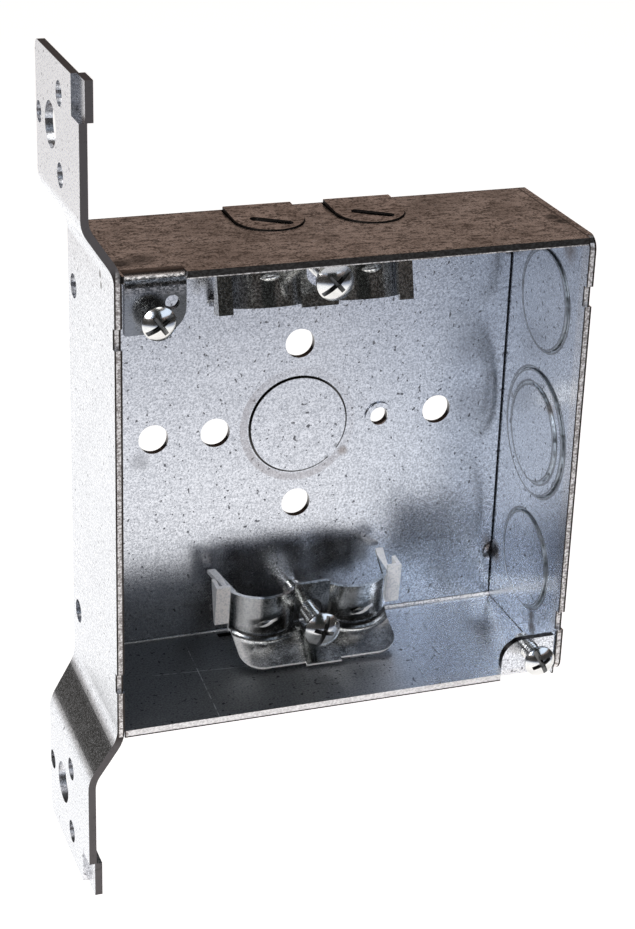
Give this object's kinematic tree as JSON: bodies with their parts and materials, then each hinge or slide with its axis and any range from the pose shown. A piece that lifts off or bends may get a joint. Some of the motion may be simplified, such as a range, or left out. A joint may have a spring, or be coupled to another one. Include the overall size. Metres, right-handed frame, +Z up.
{
  "type": "square electrical box",
  "caption": "Square galvanised steel electrical box with an offset stud bracket on one side, knockouts, inner cable clamps and cover screws on corner ears.",
  "frame": {"origin": "centre of the bracket's two large fixing holes, on the plane of the arms that meets the stud", "axes": "+X from the stud into the box, +Y from the open front to the back wall, +Z up along the bracket"},
  "size_m": [0.108, 0.045, 0.1778],
  "materials": {
    "galvanised_sheet": "galvanised, fine grained",
    "zinc_clamp": "bright zinc",
    "zinc_screw": "bright zinc"
  },
  "bodies": {
    "box": {"box_body": "galvanised_sheet", "bracket_side_wall": "galvanised_sheet", "right_side_wall": "galvanised_sheet"},
    "upper_clamp": {"upper_cable_clamp": "zinc_clamp"},
    "lower_clamp": {"lower_cable_clamp": "zinc_clamp"},
    "upper_clamp_screw": {"upper_clamp_screw": "zinc_screw"},
    "lower_clamp_screw": {"lower_clamp_screw": "zinc_screw"},
    "upper_cover_screw": {"upper_cover_screw": "zinc_screw"},
    "lower_cover_screw": {"lower_cover_screw": "zinc_screw"}
  },
  "joints": [
    {"name": "upper_clamp_slide", "type": "slide", "parent": "box", "child": "upper_clamp", "axis": [0, 1, 0], "range_m": [-0.0015, 0.0003]},
    {"name": "lower_clamp_slide", "type": "slide", "parent": "box", "child": "lower_clamp", "axis": [0, 1, 0], "range_m": [-0.0016, 0.001]},
    {"name": "upper_clamp_screw_slide", "type": "slide", "parent": "box", "child": "upper_clamp_screw", "axis": [0, 1, 0], "range_m": [-0.0006, 0.005]},
    {"name": "lower_clamp_screw_slide", "type": "slide", "parent": "box", "child": "lower_clamp_screw", "axis": [0, 1, 0], "range_m": [-0.0006, 0.0046]},
    {"name": "upper_cover_screw_slide", "type": "slide", "parent": "box", "child": "upper_cover_screw", "axis": [0, 1, 0], "range_m": [-0.0044, 0.0026]},
    {"name": "lower_cover_screw_slide", "type": "slide", "parent": "box", "child": "lower_cover_screw", "axis": [0, 1, 0], "range_m": [-0.003, 0.0042]}
  ]
}
